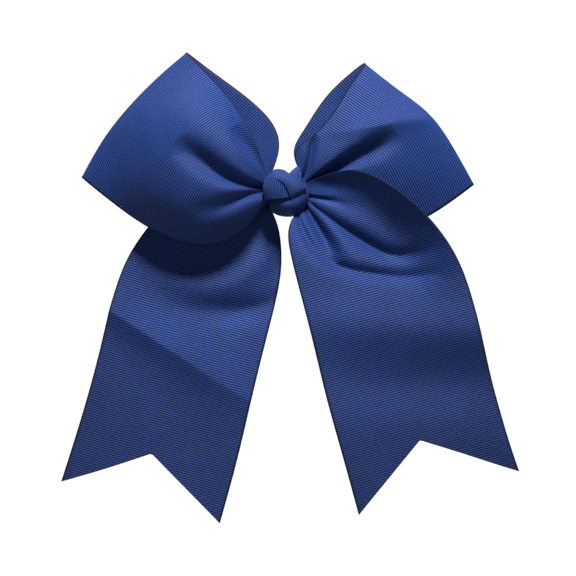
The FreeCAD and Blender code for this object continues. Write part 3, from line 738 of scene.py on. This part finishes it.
def join(name, parts):
    """One piece from several strips of the same ribbon."""
    whole = bmesh.new()
    for part in parts:
        whole.from_mesh(part.data)
        bpy.data.objects.remove(part)
    mesh = bpy.data.meshes.new(name)
    whole.to_mesh(mesh)
    whole.free()
    mesh.materials.append(knot_cloth)
    return add_object(name, mesh)


knot_parts = (knot_strap(), knot_left_lobe(), knot_top_band(), knot_lower_band(), knot_right_peak())
knot = join("knot_ribbon", knot_parts)

liner_line = [
    (-18.5, -1.74), (-13.3, -3.52), (-9.4, -4.85), (-7.2, -5.28), (-2, -5.33), (6, -5.33), (14, -5.33),
]
liner_rows = [[(x, y, side * LINER_WIDTH / 2) for x, y in liner_line] for side in (-1, 0, 1)]
liner = strip("liner_strip", liner_rows, LINER_WIDTH, 12, LINER_HALF_THICK, liner_cloth)

# ---------------------------------------------------------------- the clip's spring

PIVOT = (21.0, -1.95)
COIL_RADIUS, COIL_TURNS, COIL_PITCH = 1.55, 4.5, 0.95
COIL_STEPS = 28
WIRE_RADIUS = 0.4


def spring_route():
    """The wire from the tip of the leg on the prong jaw, round the pin, to the tip on the top jaw."""
    half = COIL_TURNS * COIL_PITCH / 2
    route = [(12.0, 4.62, -half), (3.8, 1.76, -half), (3.1, 1.6, -half)]
    for turn in np.linspace(0, COIL_TURNS, int(COIL_TURNS * COIL_STEPS) + 1):
        angle = 2 * math.pi * (turn + 0.25)
        x, y = COIL_RADIUS * math.cos(angle), COIL_RADIUS * math.sin(angle)
        route.append((x, y, turn * COIL_PITCH - half))
    route += [(3.8, -1.68, half), (4.6, -1.82, half), (12.0, -3.85, half)]
    return np.array(route) + (*PIVOT, 0)


def bent_wire(name, route, material):
    """A round wire with closed ends along a route."""
    curve = bpy.data.curves.new(name + "_route", "CURVE")
    curve.dimensions = "3D"
    curve.bevel_depth = WIRE_RADIUS * MM
    curve.bevel_resolution = 5
    curve.use_fill_caps = True
    spline = curve.splines.new("POLY")
    spline.points.add(len(route) - 1)
    for point, spot in zip(spline.points, route * MM):
        point.co = (*spot, 1)
    guide = bpy.data.objects.new(name + "_guide", curve)
    mesh = bpy.data.meshes.new_from_object(guide)
    bpy.data.objects.remove(guide)
    mesh.materials.clear()
    mesh.materials.append(material)
    return add_object(name, mesh)


spring = bent_wire("clip_spring", spring_route(), spring_wire)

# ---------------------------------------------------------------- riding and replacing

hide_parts("left_loop", "waist_middle_ply")
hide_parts("right_loop")
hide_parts("left_tail_root", "left_tail", "waist_back_ply")
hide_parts("right_tail_root", "right_tail", "waist_front_ply")
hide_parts("knot", "knot_upper_leg", "knot_lower_leg")
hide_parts("clip_liner")
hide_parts("torsion_spring")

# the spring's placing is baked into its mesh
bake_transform(spring)
for piece in (left_loop, right_loop):
    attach(piece, "bow")
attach(knot, "bow")
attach(liner, "bow")

# each tail's hinge joint is looked up and the way down across it worked out, and the tail's placing is baked
# into its mesh
tails = (
    (left_tail, "left_tail_end", "left_tail_flex"),
    (right_tail, "right_tail_end", "right_tail_flex"),
)
for piece, body, hinge in tails:
    joint = next(j for j in frame["record"]["behaviour"]["joints"] if j["name"] == hinge)
    down = np.cross(joint["axis"], (0, 1, 0))
    down = down / np.linalg.norm(down) * (-1 if down[2] > 0 else 1)
    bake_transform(piece)


def dress(node_name, material):
    """Gives a CAD node its material."""
    for slot in frame["nodes"][node_name].material_slots:
        slot.material = material


for node_name in ("clip_top_jaw", "clip_prong_jaw", "hinge_pin"):
    dress(node_name, steel)
dress("binding_thread", thread_material)
dress("glue_bead", glue_material)

# ---------------------------------------------------------------- camera, light and floor

VIEW_WIDE = 261.8
VIEW_X, VIEW_Z = 0.45, -43.6
BOW_Y = -22
LENS, SENSOR = 180.0, 36.0
FLOOR_Z = -520
FLOOR_RADIUS = 3000
FLOOR_SIDES = 96
WHITE = (1, 1, 1, 1)


def view_camera():
    """A long lens straight at the front, wide enough for VIEW_WIDE at the depth BOW_Y."""
    data = bpy.data.cameras.new("camera")
    data.lens, data.sensor_width = LENS, SENSOR
    camera = add_object("camera", data)
    camera.location = (VIEW_X * MM, (BOW_Y - VIEW_WIDE * LENS / SENSOR) * MM, VIEW_Z * MM)
    camera.rotation_euler = (math.pi / 2, 0, 0)
    return camera


def area_light(name, place, aim, size, power, spread):
    """A round lamp; place, aim and size are in metres."""
    data = bpy.data.lights.new(name, "AREA")
    data.shape, data.size, data.energy = "DISK", size, power
    data.spread = math.radians(spread)
    light = add_object(name, data)
    light.location = place
    direction = mathutils.Vector(aim) - mathutils.Vector(place)
    light.rotation_euler = direction.to_track_quat("-Z", "Y").to_euler()


def studio_world():
    """White all round at eye level, dimmer on the camera's side, and dark above and below."""
    world = bpy.data.worlds.new("studio")
    world.use_nodes = True
    sky = world.node_tree
    way = node(sky, "ShaderNodeTexCoord").outputs["Generated"]
    parts = node(sky, "ShaderNodeSeparateXYZ", {0: way})
    steepness = maths(sky, "ABSOLUTE", parts.outputs[2])
    level = ranged(sky, steepness, 0.11, 0.3, 1.0, 0.1, interpolation_type="SMOOTHSTEP")
    behind = ranged(sky, parts.outputs[1], -0.6, 0.4, 0.5, 1.05, interpolation_type="SMOOTHSTEP")
    give(sky, sky.nodes["Background"], {0: WHITE, 1: maths(sky, "MULTIPLY", level, behind)})
    return world


def pale_floor():
    """A round pale floor well below the bow, with a glow that grows outwards to meet the white beyond."""
    mesh = bpy.data.meshes.new("floor")
    turns = np.linspace(0, 2 * math.pi, FLOOR_SIDES, endpoint=False)
    rim = [(FLOOR_RADIUS * math.cos(a) * MM, FLOOR_RADIUS * math.sin(a) * MM, FLOOR_Z * MM) for a in turns]
    mesh.from_pydata(rim, [], [range(FLOOR_SIDES)])
    floor = add_object("floor", mesh)
    material, tree, shader = new_material("floor")
    place = node(tree, "ShaderNodeTexCoord").outputs["Object"]
    far_out = node(tree, "ShaderNodeVectorMath", {0: place}, operation="LENGTH").outputs["Value"]
    give(tree, shader, {
        "Base Color": (0.93, 0.93, 0.93, 1),
        "Roughness": 0.9,
        "Emission Color": WHITE,
        "Emission Strength": ranged(tree, far_out, 0.6, 2.6, 0.42, 0.86, interpolation_type="SMOOTHSTEP"),
    })
    mesh.materials.append(material)
    return floor


bpy.context.scene.camera = view_camera()
area_light("key", (0.04, -0.40, 0.58), (0, 0, 0.05), 0.16, 1.02, 38)
bpy.context.scene.view_settings.view_transform = "Standard"
bpy.context.scene.world = studio_world()
floor = pale_floor()
